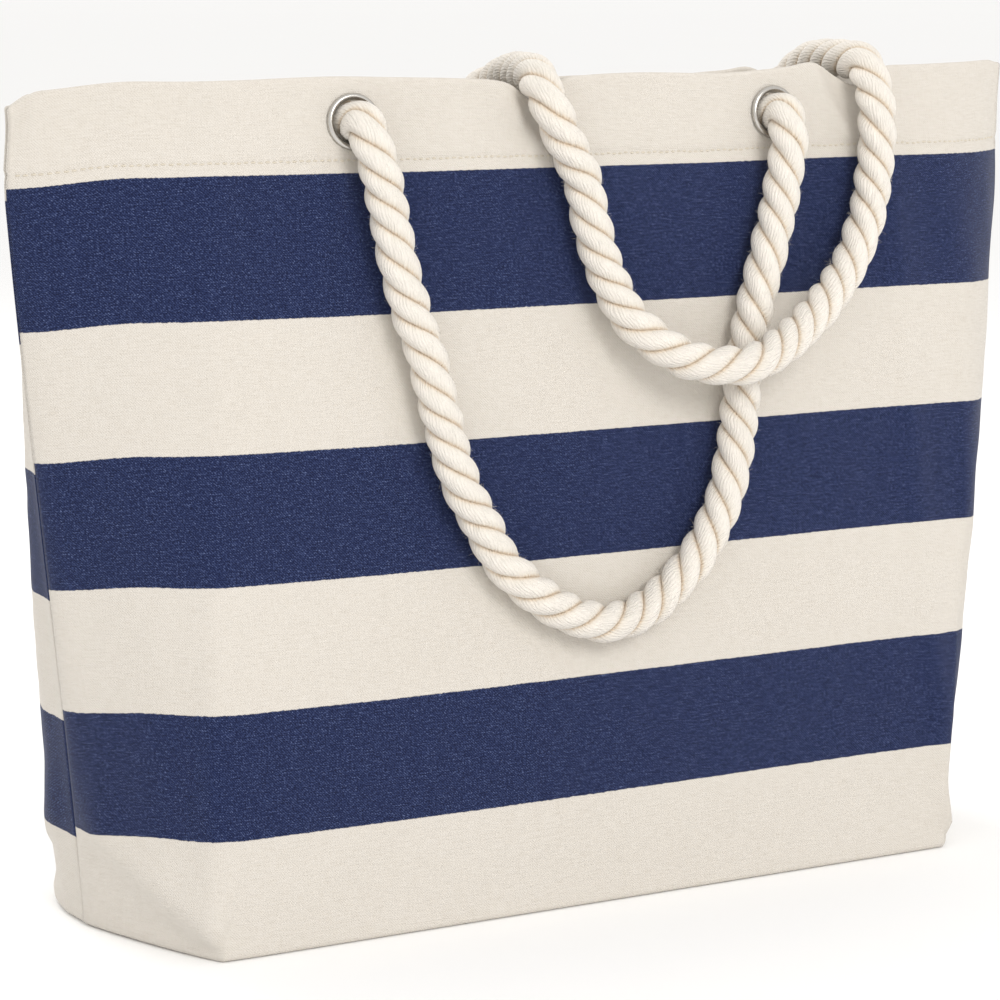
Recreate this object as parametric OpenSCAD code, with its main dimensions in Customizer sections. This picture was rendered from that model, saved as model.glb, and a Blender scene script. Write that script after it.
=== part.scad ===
// Canvas beach bag: a boxed base and a flat mouth, with two rope handles
// knotted behind eyelets in the turned hem.
// Millimetres. Origin at the centre of the base, +Z up, -Y is the front.

/* [Bag] */
// Height from the base to the rim
body_h = 358; // [300:1:420]
// Width of the base between the side seams
base_w = 424; // [390:1:460]
// Width of the straight front edge of the base
flat_w = 330; // [300:1:360]
// Depth of the base
base_d = 144; // [120:1:170]
// Width of the mouth between the side seams
mouth_w = 486; // [460:1:520]
// Depth of the mouth at its middle
mouth_gap = 62; // [60:1:70]
// Thickness of one layer of canvas
canvas_t = 1.5; // [1:0.1:2]
// Depth of the hem turned in at the rim
hem_h = 33; // [25:1:40]
// Width of the seam allowances inside
seam_w = 10; // [6:1:14]

/* [Eyelets] */
// Distance of each eyelet from the middle of its panel
eyelet_x = 104; // [90:1:115]
// Height of the eyelet centres above the base
eyelet_z = 341; // [338:1:343]
// Outer diameter of the eyelets and of their washers
eyelet_od = 24; // [22:0.5:26]
// Clear diameter through the eyelets
eyelet_id = 15.6; // [15.2:0.1:16.2]
// Height of the rolled lip above the canvas
lip_h = 2.2; // [1.5:0.1:2.4]
// Thickness of the washer behind the hem
washer_t = 1; // [0.6:0.1:1.2]

/* [Rope] */
// Diameter of the rope
rope_d = 17; // [16:0.5:17]
// Width of a stopper knot
knot_w = 38; // [32:1:40]
// Depth of a stopper knot, pressed flat by the closed mouth
knot_depth = 24; // [22:0.5:24.5]
// Length of the rope tail below a knot
tail_l = 14; // [8:1:20]

/* [Hidden] */
columns = 52;
wall_rows = 7;
fold_gap = 0.3;
rope_sides = 10;
curve_steps = 2;
end_taper = 4;
joint_gap = 0.5;
rope_r = rope_d / 2;
bend_r = rope_r + 0.1;
hem_start = 1 - hem_h / body_h;
hem_heights = [hem_start, (1 + hem_start) / 2, 1];
wall_heights = concat([for (r = [0 : wall_rows - 1]) hem_start * r / wall_rows], hem_heights);
end_l = 95;
half_girth = flat_w / 2 + end_l;
canvas_color = "antiquewhite";
rope_color = "linen";
metal_color = "silver";
thread_color = "ivory";

// Where the eyelets sit on the front panel, and which way they face
eyelet_t = eyelet_z / body_h;
eyelet_u = eyelet_x / (half_girth * (1 - eyelet_t) + mouth_w / 2 * eyelet_t);
eyelet_y = -base_d / 2 * (1 - eyelet_t) - mouth_gap / 2 * (1 - pow(eyelet_u, 4)) * eyelet_t;
lean = atan((base_d - mouth_gap) / 2 / body_h);
yaw = atan(4 * mouth_gap / mouth_w * pow(eyelet_u, 3));

// The rope turns at the centre of a ball of rope just outside each eyelet
bend_out = lip_h + bend_r + 0.8;
stack_t = 2 * canvas_t + washer_t;

// Where the back handle crosses the mouth: its bends over the back rim and over
// the front rim, and their height
cross_left_back_x = -3;
cross_left_front_x = -21;
cross_right_back_x = 160;
cross_right_front_x = 148;
cross_y = 41;
cross_z = 367;

// Routes of the free rope, from bend to bend
front_route = [
    [-104, -44, 333], [-101, -45, 322], [-98, -46, 312], [-95.5, -48, 294],
    [-89.5, -51, 268], [-82, -54, 243], [-76, -58, 214], [-71, -60, 190],
    [-64, -62, 173], [-53, -64, 156], [-37, -66, 141], [-20, -68, 130],
    [-3, -69, 125], [13, -68, 127], [28, -67, 135], [42, -66, 147],
    [53, -64, 161], [63.5, -62, 178], [70.5, -60, 197], [75, -57, 220],
    [79, -54, 245], [86, -51, 270], [95, -48, 294], [101, -45.5, 314],
    [104, -44, 333]
];
back_route = [
    [-21, -43, 358], [-18, -43.5, 345], [-12, -44.5, 331], [-5, -46.5, 314],
    [-1.5, -49, 293], [5, -53, 272], [14, -57, 256], [25, -62, 245],
    [38, -68, 237], [53, -73, 234], [69, -75, 235], [84, -71.5, 241],
    [100, -66, 249], [116, -59.5, 260], [131.5, -54, 273], [142.5, -49, 288],
    [148.5, -46, 303], [152, -44, 322], [151, -43, 341], [148.5, -43, 356.5]
];
left_back_leg = [
    [-95, 43.7, 342.2], [-80, 44.5, 342.4], [-60, 45.5, 342.5], [-42, 46, 343],
    [-25, 46, 345], [-13, 46, 350], [-7, 44.5, 357], [-4, 42.5, 363]
];
right_back_leg = [
    [114, 43.7, 342.2], [122, 44.5, 342.6], [134, 45.5, 344], [146, 46, 348],
    [154, 44.5, 355], [158, 42.5, 362]
];

// Outline of the base at cloth position u, from -1 at the left seam to 1 at the
// right one, moved inwards by inset: a straight front edge and elliptical ends
function end_angle(u) = max(0, 90 * (abs(u) * half_girth - flat_w / 2) / end_l);
function base_x(u, inset) = abs(u) * half_girth <= flat_w / 2
    ? u * half_girth
    : sign(u) * (flat_w / 2 + (base_w / 2 - inset - flat_w / 2) * sin(end_angle(u)));
function base_y(u, inset) = -(base_d / 2 - inset) * cos(end_angle(u));

// Outline of the mouth: a long flat lens that closes at the side seams
function mouth_x(u, inset) = u * (mouth_w / 2 - inset * end_taper / 1.5);
function mouth_y(u, inset) = -(mouth_gap / 2 - inset) * (1 - pow(u, 4));

// A point of the front panel at cloth position u and height share t
function mix_of(a, b, t) = a + (b - a) * t;
function wall_point(u, t, inset) = [
    mix_of(base_x(u, inset), mouth_x(u, inset), t),
    mix_of(base_y(u, inset), mouth_y(u, inset), t),
    body_h * t
];
function column_u(i) = 2 * i / columns - 1;

// Triangles of a closed grid of stacked rings
function ring_faces(rings, size) = [
    for (r = [0 : rings - 2])
        for (i = [0 : size - 1])
            let (a = r * size + i, b = r * size + (i + 1) % size)
                each [[a, b, b + size], [a, b + size, a + size]]
];

// A strip of front panel canvas between two insets, through a list of height shares
module canvas_strip(outer, inner, heights) {
    ring_size = 2 * (columns + 1);
    points = [
        for (t = heights)
            each concat(
                [for (i = [0 : columns]) wall_point(column_u(i), t, outer)],
                [for (i = [columns : -1 : 0]) wall_point(column_u(i), t, inner)]
            )
    ];
    last = (len(heights) - 1) * ring_size;
    bottom = [
        for (i = [0 : columns - 1])
            let (j = ring_size - 1 - i)
                each [[i, j, j - 1], [i, j - 1, i + 1]]
    ];
    top = [for (f = bottom) [last + f[0], last + f[2], last + f[1]]];
    sides = ring_faces(len(heights), ring_size);
    polyhedron(points, [for (f = concat(sides, bottom, top)) [f[0], f[2], f[1]]], convexity = 6);
}

// The half of the base that the front panel turns under
module half_base() {
    linear_extrude(canvas_t)
        polygon([for (i = [0 : columns])
            let (u = column_u(i))
                [base_x(u, canvas_t / 2), base_y(u, canvas_t / 2)]]);
}

// Places its children on an eyelet's axis, +Z outwards, with z = 0 on the canvas
module at_front_eyelet(side) {
    translate([side * eyelet_x, eyelet_y, eyelet_z])
        rotate([0, 0, side * yaw])
            rotate([90 - lean, 0, 0])
                children();
}

// Turns a front piece round to the back, which is its mirror image
module behind() {
    mirror([0, 1, 0])
        children();
}

module front_half() {
    difference() {
        union() {
            canvas_strip(0, canvas_t, wall_heights);
            half_base();
        }
        for (side = [-1, 1])
            at_front_eyelet(side)
                translate([0, 0, -stack_t])
                    cylinder(h = 2 * stack_t, r = eyelet_id / 2 + 1.2, $fn = 32);
    }
}

module front_panel() {
    color(canvas_color)
        front_half();
}

module back_panel() {
    color(canvas_color)
        behind()
            front_half();
}

module half_hem() {
    difference() {
        canvas_strip(canvas_t + fold_gap, 2 * canvas_t, hem_heights);
        for (side = [-1, 1])
            at_front_eyelet(side)
                translate([0, 0, -2 * stack_t])
                    cylinder(h = 4 * stack_t, r = eyelet_id / 2 + 1.2, $fn = 32);
    }
}

module front_hem() {
    color(canvas_color)
        half_hem();
}

module back_hem() {
    color(canvas_color)
        behind()
            half_hem();
}

// Seam allowance standing inwards from a side seam
module side_seam(side) {
    low = 10;
    high = body_h - hem_h - 4;
    low_x = base_w / 2 - 4;
    high_x = mouth_w / 2 - 12;
    color(canvas_color)
        scale([side, 1, 1])
            rotate([90, 0, 0])
                translate([0, 0, -canvas_t])
                    linear_extrude(2 * canvas_t)
                        polygon([
                            [low_x, low],
                            [high_x, high],
                            [high_x - seam_w, high],
                            [low_x - seam_w, low]
                        ]);
}

module left_side_seam() {
    side_seam(-1);
}

module right_side_seam() {
    side_seam(1);
}

// Seam allowance across the boxed corner at one end of the base
module corner_seam(side) {
    color(canvas_color)
        translate([side * (base_w / 2 - 24), 0, 2 * canvas_t])
            cube([seam_w, base_d * 0.6, 2 * canvas_t - 0.2], center = true);
}

module left_corner_seam() {
    corner_seam(-1);
}

module right_corner_seam() {
    corner_seam(1);
}

// Seam allowance pressed flat along the middle of the base
module base_seam() {
    length = base_w - 72;
    color(canvas_color)
        translate([-length / 2, -seam_w, canvas_t + 0.1])
            cube([length, 2 * seam_w, canvas_t]);
}

// Sweeps a round tube along a route: every ring faces along the route
function unit(v) = v / norm(v);
function ahead(route, i) = unit(route[min(i + 1, len(route) - 1)] - route[max(i - 1, 0)]);
function tube_ring(route, i, radius, sides) =
    let (
        along = ahead(route, i),
        across = unit(cross(along, [0, 1, 0])),
        out = cross(across, along)
    )
    [for (k = [0 : sides - 1])
        route[i] + radius * (cos(360 * k / sides) * across + sin(360 * k / sides) * out)];

// Rounds a route off with a curve through every one of its points
function curve_point(a, b, c, d, t) = 0.5 * (2 * b + (c - a) * t
    + (2 * a - 5 * b + 4 * c - d) * t * t + (3 * b - a - 3 * c + d) * t * t * t);
function smooth_route(route, steps) = concat(
    [for (i = [0 : len(route) - 2])
        for (k = [0 : steps - 1])
            curve_point(route[max(i - 1, 0)], route[i], route[i + 1],
                route[min(i + 2, len(route) - 1)], k / steps)],
    [route[len(route) - 1]]
);

module tube(route, radius, sides) {
    count = len(route);
    points = [for (i = [0 : count - 1]) each tube_ring(route, i, radius, sides)];
    first_cap = [for (k = [sides - 1 : -1 : 0]) k];
    last_cap = [for (k = [0 : sides - 1]) (count - 1) * sides + k];
    polyhedron(points, concat([first_cap, last_cap], ring_faces(count, sides)), convexity = 4);
}

// One stitching line: a thread laid on the outside of the canvas
module hem_stitches() {
    thread_r = 0.4;
    route = [
        for (i = [1 : columns - 1])
            wall_point(column_u(i), hem_start, -thread_r - 0.1)
    ];
    tube(route, thread_r, 6);
}

module front_hem_thread() {
    color(thread_color)
        hem_stitches();
}

module back_hem_thread() {
    color(thread_color)
        behind()
            hem_stitches();
}

// Eyelet: a barrel through the canvas with a rolled lip on the outside
module eyelet(side) {
    bore = eyelet_id / 2;
    rim = eyelet_od / 2;
    clear = 0.2;
    color(metal_color)
        at_front_eyelet(side)
            rotate_extrude($fn = 64)
                polygon([
                    [bore, -stack_t - 0.4],
                    [bore + 0.8, -stack_t - 0.4],
                    [bore + 0.8, clear],
                    [rim, clear],
                    [rim, 0.9],
                    [rim - 1, 1.7],
                    [rim - 2.2, lip_h],
                    [bore + 0.9, lip_h],
                    [bore + 0.2, lip_h - 0.5],
                    [bore, lip_h - 1.1]
                ]);
}

module front_left_eyelet() {
    eyelet(-1);
}

module front_right_eyelet() {
    eyelet(1);
}

module back_left_eyelet() {
    behind()
        eyelet(-1);
}

module back_right_eyelet() {
    behind()
        eyelet(1);
}

// Washer that the eyelet's barrel is rolled over, behind the hem
module washer(side) {
    inner = eyelet_id / 2 + 0.9;
    color(metal_color)
        at_front_eyelet(side)
            translate([0, 0, -stack_t - 0.2])
                difference() {
                    cylinder(h = washer_t - 0.3, d = eyelet_od, $fn = 64);
                    translate([0, 0, -1])
                        cylinder(h = washer_t + 2, r = inner, $fn = 64);
                }
}

module front_left_washer() {
    washer(-1);
}

module front_right_washer() {
    washer(1);
}

module back_left_washer() {
    behind()
        washer(-1);
}

module back_right_washer() {
    behind()
        washer(1);
}

// The rope squeezed through an eyelet, and the ball of rope where it turns
module rope_end(side) {
    squeezed_r = eyelet_id / 2 - 0.3;
    color(rope_color)
        at_front_eyelet(side)
            union() {
                translate([0, 0, -stack_t - 0.5])
                    cylinder(h = stack_t + 0.5 + bend_out, r = squeezed_r, $fn = 48);
                translate([0, 0, bend_out])
                    sphere(r = bend_r, $fn = 48);
            }
}

module front_left_rope_end() {
    rope_end(-1);
}

module front_right_rope_end() {
    rope_end(1);
}

module back_left_rope_end() {
    behind()
        rope_end(-1);
}

module back_right_rope_end() {
    behind()
        rope_end(1);
}

// Stopper knot behind the washer, with the rope's tail hanging below it
module knot(side) {
    half = knot_depth / 2;
    bulge = 6;
    color(rope_color) {
        at_front_eyelet(side)
            translate([0, 0, -stack_t - 0.5 - half])
                rotate_extrude($fn = 48)
                    polygon(concat([[0, -half]],
                        [for (a = [-90 : 15 : 90])
                            [knot_w / 2 - bulge + bulge * cos(a), half * sin(a)]],
                        [[0, half]]));
        translate([side * eyelet_x, eyelet_y + stack_t + 0.5 + half, eyelet_z - knot_w / 2 - tail_l])
            cylinder(h = tail_l + 8, r = rope_r, $fn = 40);
    }
}

module front_left_knot() {
    knot(-1);
}

module front_right_knot() {
    knot(1);
}

module back_left_knot() {
    behind()
        knot(-1);
}

module back_right_knot() {
    behind()
        knot(1);
}

// Front handle: the rope between the bends at the two front eyelets
module front_handle_rope() {
    color(rope_color)
        tube(smooth_route(front_route, curve_steps), rope_r, rope_sides);
}

// Back handle: the rope that has fallen over the mouth and hangs in front
module back_handle_rope() {
    color(rope_color)
        tube(smooth_route(back_route, curve_steps), rope_r, rope_sides);
}

// One leg of the back handle, from its eyelet's bend to the bend over the rim
module back_leg(route, bend_x) {
    color(rope_color) {
        tube(smooth_route(route, curve_steps), rope_r, rope_sides);
        translate([bend_x, cross_y, cross_z])
            sphere(r = bend_r, $fn = 48);
    }
}

module back_left_leg() {
    back_leg(left_back_leg, cross_left_back_x);
}

module back_right_leg() {
    back_leg(right_back_leg, cross_right_back_x);
}

// The rope lying across the mouth, from the back bend over the front rim
module mouth_crossing(back_x, front_x) {
    start = bend_r + joint_gap;
    span = norm([front_x - back_x, 2 * cross_y]);
    color(rope_color)
        translate([back_x, cross_y, cross_z])
            rotate([90, 0, atan((front_x - back_x) / (2 * cross_y))]) {
                translate([0, 0, start])
                    cylinder(h = span - start, r = rope_r, $fn = 48);
                translate([0, 0, span])
                    sphere(r = bend_r, $fn = 48);
            }
}

module left_mouth_crossing() {
    mouth_crossing(cross_left_back_x, cross_left_front_x);
}

module right_mouth_crossing() {
    mouth_crossing(cross_right_back_x, cross_right_front_x);
}

front_panel();
back_panel();
front_hem();
back_hem();
left_side_seam();
right_side_seam();
left_corner_seam();
right_corner_seam();
base_seam();
front_hem_thread();
back_hem_thread();
front_left_eyelet();
front_right_eyelet();
back_left_eyelet();
back_right_eyelet();
front_left_washer();
front_right_washer();
back_left_washer();
back_right_washer();
front_left_rope_end();
front_right_rope_end();
back_left_rope_end();
back_right_rope_end();
front_left_knot();
front_right_knot();
back_left_knot();
back_right_knot();
front_handle_rope();
back_handle_rope();
back_left_leg();
back_right_leg();
left_mouth_crossing();
right_mouth_crossing();
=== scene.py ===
"""Beach bag: striped canvas tote with two twisted rope handles."""

import math

import bpy
import numpy as np
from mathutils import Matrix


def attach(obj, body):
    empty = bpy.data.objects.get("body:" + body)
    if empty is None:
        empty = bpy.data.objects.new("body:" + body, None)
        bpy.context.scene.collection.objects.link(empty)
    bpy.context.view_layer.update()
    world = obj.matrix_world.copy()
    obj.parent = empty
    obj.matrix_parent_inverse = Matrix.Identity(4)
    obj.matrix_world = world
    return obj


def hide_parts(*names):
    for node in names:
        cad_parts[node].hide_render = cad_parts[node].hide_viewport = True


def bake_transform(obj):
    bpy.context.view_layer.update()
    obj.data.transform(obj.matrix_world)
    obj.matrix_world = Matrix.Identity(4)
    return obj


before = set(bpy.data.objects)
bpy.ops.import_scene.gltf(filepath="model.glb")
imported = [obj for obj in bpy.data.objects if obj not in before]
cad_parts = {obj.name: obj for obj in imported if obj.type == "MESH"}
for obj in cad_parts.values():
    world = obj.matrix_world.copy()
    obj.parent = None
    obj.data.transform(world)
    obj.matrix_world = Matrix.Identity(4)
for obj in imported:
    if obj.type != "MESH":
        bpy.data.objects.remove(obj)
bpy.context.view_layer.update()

MM = 0.001

# ---------------------------------------------------------------- the bag's driving sizes, mm
BODY_H = 358.0
BASE_W = 424.0
FLAT_W = 330.0
BASE_D = 144.0
MOUTH_W = 486.0
MOUTH_GAP = 62.0
END_L = 95.0
HALF_GIRTH = FLAT_W / 2 + END_L
CANVAS_T = 1.2
ROLL_R = 0.9
HEM_H = 33.0
STRIPE_EDGES = [(49.0, 101.0), (153.5, 207.7), (262.5, 321.8)]
ROPE_D = 17.0
ROPE_LAY = 38.5
EYELET_X = 104.0
EYELET_Z = 341.0
EYELET_OD = 24.0
EYELET_ID = 15.6
LEAN = math.atan((BASE_D - MOUTH_GAP) / 2 / BODY_H)
SLANT_H = BODY_H / math.cos(LEAN)
HEM_T = 1 - HEM_H / BODY_H
CORNER_GROWTH = 15.0


# ---------------------------------------------------------------- camera, lights and stage
def make_camera():
    """Seen from the left of the front and from just above the rim."""
    data = bpy.data.cameras.new("camera")
    data.lens = 108
    data.sensor_width = 36
    data.clip_end = 400
    camera = bpy.data.objects.new("camera", data)
    bpy.context.collection.objects.link(camera)
    camera.location = (-0.6371, -1.1713, 0.3961)
    camera.rotation_euler = (math.radians(90 - 9.70), 0, math.radians(-27.83))
    bpy.context.scene.camera = camera


def area_light(name, place, aim, size, power, tint=(1, 1, 1)):
    data = bpy.data.lights.new(name, "AREA")
    data.shape = "DISK"
    data.size = size
    data.energy = power
    data.color = tint
    light = bpy.data.objects.new(name, data)
    bpy.context.collection.objects.link(light)
    light.location = place
    way = np.array(aim) - np.array(place)
    yaw = math.atan2(way[0], -way[1])
    pitch = math.atan2(math.hypot(way[0], way[1]), -way[2])
    light.rotation_euler = (pitch, 0, yaw + math.pi)
    return light


def make_stage():
    bpy.context.scene.view_settings.view_transform = "Standard"
    world = bpy.data.worlds.new("studio")
    bpy.context.scene.world = world
    world.use_nodes = True
    background = world.node_tree.nodes["Background"]
    background.inputs["Color"].default_value = (1.0, 0.99, 0.975, 1)
    background.inputs["Strength"].default_value = 0.98
    area_light("key", (0.05, -2.0, 1.35), (0, 0, 0.18), 1.0, 19, (1.0, 0.985, 0.965))
    area_light("fill", (-1.2, -1.5, 0.9), (0, 0, 0.2), 1.8, 1, (1.0, 0.99, 0.97))
    area_light("rim", (-0.4, 1.5, 1.5), (0, 0, 0.25), 1.2, 13)

    mesh = bpy.data.meshes.new("floor")
    count, radius = 96, 150.0
    ring = [(radius * math.cos(2 * math.pi * k / count), radius * math.sin(2 * math.pi * k / count), 0)
            for k in range(count)]
    mesh.from_pydata(ring, [], [list(range(count))])
    floor = bpy.data.objects.new("floor", mesh)
    bpy.context.collection.objects.link(floor)
    material, nodes, links, shader = new_material("floor_paint")
    noise = add_node(nodes, "ShaderNodeTexNoise", Scale=3.0, Detail=3.0)
    ramp = color_ramp(nodes, [(0.3, (0.955, 0.955, 0.955, 1)), (0.7, (0.97, 0.97, 0.97, 1))])
    links.new(noise.outputs["Fac"], ramp.inputs["Fac"])
    links.new(ramp.outputs["Color"], shader.inputs["Base Color"])
    shader.inputs["Roughness"].default_value = 0.85
    mesh.materials.append(material)


# ---------------------------------------------------------------- material helpers
def new_material(name):
    material = bpy.data.materials.new(name)
    material.use_nodes = True
    tree = material.node_tree
    return material, tree.nodes, tree.links, tree.nodes["Principled BSDF"]


def add_node(nodes, kind, operation=None, **inputs):
    node = nodes.new(kind)
    if operation:
        node.operation = operation
    for key, value in inputs.items():
        node.inputs[int(key[1:]) if key[0] == "i" and key[1:].isdigit() else key.replace("_", " ")
                    ].default_value = value
    return node


def color_ramp(nodes, stops):
    ramp = nodes.new("ShaderNodeValToRGB")
    while len(ramp.color_ramp.elements) < len(stops):
        ramp.color_ramp.elements.new(0.5)
    for element, (place, color) in zip(ramp.color_ramp.elements, stops):
        element.position = place
        element.color = color
    return ramp


def math_node(nodes, links, operation, a, b=None):
    node = nodes.new("ShaderNodeMath")
    node.operation = operation
    for index, value in enumerate((a, b)):
        if value is None:
            continue
        if isinstance(value, (int, float)):
            node.inputs[index].default_value = value
        else:
            links.new(value, node.inputs[index])
    return node.outputs[0]


def stretched(nodes, links, uv, scale):
    """The cloth coordinate (mm), scaled differently along each axis."""
    mapping = nodes.new("ShaderNodeMapping")
    mapping.inputs["Scale"].default_value = scale
    links.new(uv, mapping.inputs["Vector"])
    return mapping.outputs["Vector"]


def canvas_material(name, striped):
    """Plain cotton canvas: diagonal weave grain, slubs along the weft and, if
    striped, navy bands with a slightly uneven printed edge."""
    material, nodes, links, shader = new_material(name)
    layer = nodes.new("ShaderNodeUVMap")
    layer.uv_map = "cloth"
    scaled = stretched(nodes, links, layer.outputs["UV"], (1000, 1000, 1000))
    split = nodes.new("ShaderNodeSeparateXYZ")
    links.new(scaled, split.inputs[0])
    across, up = split.outputs["X"], split.outputs["Y"]

    slub = add_node(nodes, "ShaderNodeTexNoise", Scale=1.0, Detail=4.0, Roughness=0.6)
    links.new(stretched(nodes, links, scaled, (0.16, 1.3, 1)), slub.inputs["Vector"])
    warp = add_node(nodes, "ShaderNodeTexNoise", Scale=1.0, Detail=2.0, Roughness=0.5)
    links.new(stretched(nodes, links, scaled, (1.6, 0.12, 1)), warp.inputs["Vector"])
    patch = add_node(nodes, "ShaderNodeTexNoise", Scale=0.012, Detail=3.0, Roughness=0.5)
    links.new(scaled, patch.inputs["Vector"])

    # fine diagonal grain of the weave, 1.2 mm from ridge to ridge
    diagonal = math_node(nodes, links, "ADD", across, up)
    wobble = math_node(nodes, links, "MULTIPLY", slub.outputs["Fac"], 1.6)
    diagonal = math_node(nodes, links, "ADD", diagonal, wobble)
    ridges = math_node(nodes, links, "SINE", math_node(nodes, links, "MULTIPLY", diagonal, 2 * math.pi / 1.2))
    weft = math_node(nodes, links, "SINE", math_node(nodes, links, "MULTIPLY", up, 2 * math.pi / 0.75))
    weave = math_node(nodes, links, "ADD", math_node(nodes, links, "MULTIPLY", ridges, 0.35),
                      math_node(nodes, links, "MULTIPLY", weft, 0.25))
    slub_height = math_node(nodes, links, "MULTIPLY", slub.outputs["Fac"], 2.2)
    warp_height = math_node(nodes, links, "MULTIPLY", warp.outputs["Fac"], 0.9)
    height = math_node(nodes, links, "ADD", weave, math_node(nodes, links, "ADD", slub_height, warp_height))

    cream = color_ramp(nodes, [(0.34, (0.578, 0.533, 0.471, 1)), (0.46, (0.624, 0.581, 0.521, 1)),
                               (0.60, (0.648, 0.608, 0.553, 1))])
    cream_mix = math_node(nodes, links, "ADD", math_node(nodes, links, "MULTIPLY", slub.outputs["Fac"], 0.55),
                          math_node(nodes, links, "MULTIPLY", warp.outputs["Fac"], 0.3))
    cream_mix = math_node(nodes, links, "ADD", cream_mix,
                          math_node(nodes, links, "MULTIPLY", patch.outputs["Fac"], 0.15))
    cream_mix = math_node(nodes, links, "ADD", cream_mix, math_node(nodes, links, "MULTIPLY", ridges, 0.05))
    links.new(cream_mix, cream.inputs["Fac"])
    color = cream.outputs["Color"]

    if striped:
        ragged = add_node(nodes, "ShaderNodeTexNoise", Scale=1.0, Detail=3.0, Roughness=0.7)
        links.new(stretched(nodes, links, scaled, (0.5, 0.5, 1)), ragged.inputs["Vector"])
        centred = math_node(nodes, links, "SUBTRACT", ragged.outputs["Fac"], 0.5)
        shift = math_node(nodes, links, "MULTIPLY", centred, 1.1)
        place = math_node(nodes, links, "ADD", up, shift)
        mask = None
        for low, high in STRIPE_EDGES:
            middle, half = (low + high) / 2, (high - low) / 2
            away = math_node(nodes, links, "ABSOLUTE", math_node(nodes, links, "SUBTRACT", place, middle))
            edge = nodes.new("ShaderNodeMapRange")
            edge.inputs["From Min"].default_value = half + 0.18
            edge.inputs["From Max"].default_value = half - 0.18
            links.new(away, edge.inputs["Value"])
            band = edge.outputs["Result"]
            mask = band if mask is None else math_node(nodes, links, "MAXIMUM", mask, band)
        navy = color_ramp(nodes, [(0.505, (0.002, 0.005, 0.030, 1)), (0.615, (0.006, 0.0135, 0.061, 1)),
                                  (0.71, (0.030, 0.046, 0.125, 1)), (0.79, (0.12, 0.155, 0.28, 1))])
        specks = add_node(nodes, "ShaderNodeTexNoise", Scale=1.0, Detail=5.0, Roughness=0.75)
        links.new(stretched(nodes, links, scaled, (0.9, 1.7, 1)), specks.inputs["Vector"])
        slub_part = math_node(nodes, links, "MULTIPLY", slub.outputs["Fac"], 0.28)
        speck_part = math_node(nodes, links, "MULTIPLY", specks.outputs["Fac"], 0.95)
        navy_mix = math_node(nodes, links, "ADD", slub_part, speck_part)
        navy_mix = math_node(nodes, links, "ADD", navy_mix, math_node(nodes, links, "MULTIPLY", ridges, 0.05))
        links.new(navy_mix, navy.inputs["Fac"])
        mix = nodes.new("ShaderNodeMix")
        mix.data_type = "RGBA"
        links.new(mask, mix.inputs["Factor"])
        links.new(color, mix.inputs["A"])
        links.new(navy.outputs["Color"], mix.inputs["B"])
        color = mix.outputs["Result"]

    links.new(color, shader.inputs["Base Color"])
    bump = add_node(nodes, "ShaderNodeBump", Strength=0.7, Distance=0.00018)
    links.new(height, bump.inputs["Height"])
    links.new(bump.outputs["Normal"], shader.inputs["Normal"])
    shader.inputs["Roughness"].default_value = 0.88
    shader.inputs["Specular IOR Level"].default_value = 0.25
    shader.inputs["Sheen Weight"].default_value = 0.12
    shader.inputs["Sheen Roughness"].default_value = 0.5
    return material


def rope_material():
    """Soft cotton strands: yarn ridges lie nearly along the rope, and the
    grooves between strands are painted warmer and darker, as painted shade."""
    material, nodes, links, shader = new_material("cotton_rope")
    layer = nodes.new("ShaderNodeUVMap")
    layer.uv_map = "yarn"
    groove_shade = nodes.new("ShaderNodeAttribute")
    groove_shade.attribute_name = "crest"
    yarn = stretched(nodes, links, layer.outputs["UV"], (1000, 1000, 1))
    split = nodes.new("ShaderNodeSeparateXYZ")
    links.new(yarn, split.inputs[0])
    wander = add_node(nodes, "ShaderNodeTexNoise", Scale=0.16, Detail=2.0)
    links.new(yarn, wander.inputs["Vector"])
    turn = math_node(nodes, links, "ADD", split.outputs["X"],
                     math_node(nodes, links, "MULTIPLY", wander.outputs["Fac"], 3.2))
    ridge = math_node(nodes, links, "SINE", math_node(nodes, links, "MULTIPLY", turn, 2 * math.pi / 1.35))
    fibre = add_node(nodes, "ShaderNodeTexNoise", Scale=1.0, Detail=4.0, Roughness=0.7)
    links.new(stretched(nodes, links, yarn, (2.2, 0.16, 1)), fibre.inputs["Vector"])
    height = math_node(nodes, links, "ADD", math_node(nodes, links, "MULTIPLY", ridge, 0.35),
                       math_node(nodes, links, "MULTIPLY", fibre.outputs["Fac"], 1.9))
    tone = math_node(nodes, links, "ADD", math_node(nodes, links, "MULTIPLY", groove_shade.outputs["Fac"], 0.62),
                     math_node(nodes, links, "MULTIPLY", fibre.outputs["Fac"], 0.42))
    tone = math_node(nodes, links, "ADD", tone, math_node(nodes, links, "MULTIPLY", ridge, 0.02))
    # painted shade: the ramp's low end, where the crest value is lowest in the grooves, is a warm dark brown
    # standing in for shade between the strands
    ramp = color_ramp(nodes, [(0.15, (0.44, 0.285, 0.17, 1)), (0.28, (0.78, 0.655, 0.51, 1)),
                              (0.44, (0.865, 0.80, 0.71, 1)), (0.76, (0.895, 0.84, 0.765, 1))])
    links.new(tone, ramp.inputs["Fac"])
    links.new(ramp.outputs["Color"], shader.inputs["Base Color"])
    bump = add_node(nodes, "ShaderNodeBump", Strength=0.85, Distance=0.0006)
    links.new(height, bump.inputs["Height"])
    links.new(bump.outputs["Normal"], shader.inputs["Normal"])
    shader.inputs["Roughness"].default_value = 0.92
    shader.inputs["Specular IOR Level"].default_value = 0.2
    shader.inputs["Sheen Weight"].default_value = 0.25
    shader.inputs["Sheen Roughness"].default_value = 0.4
    return material


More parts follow.
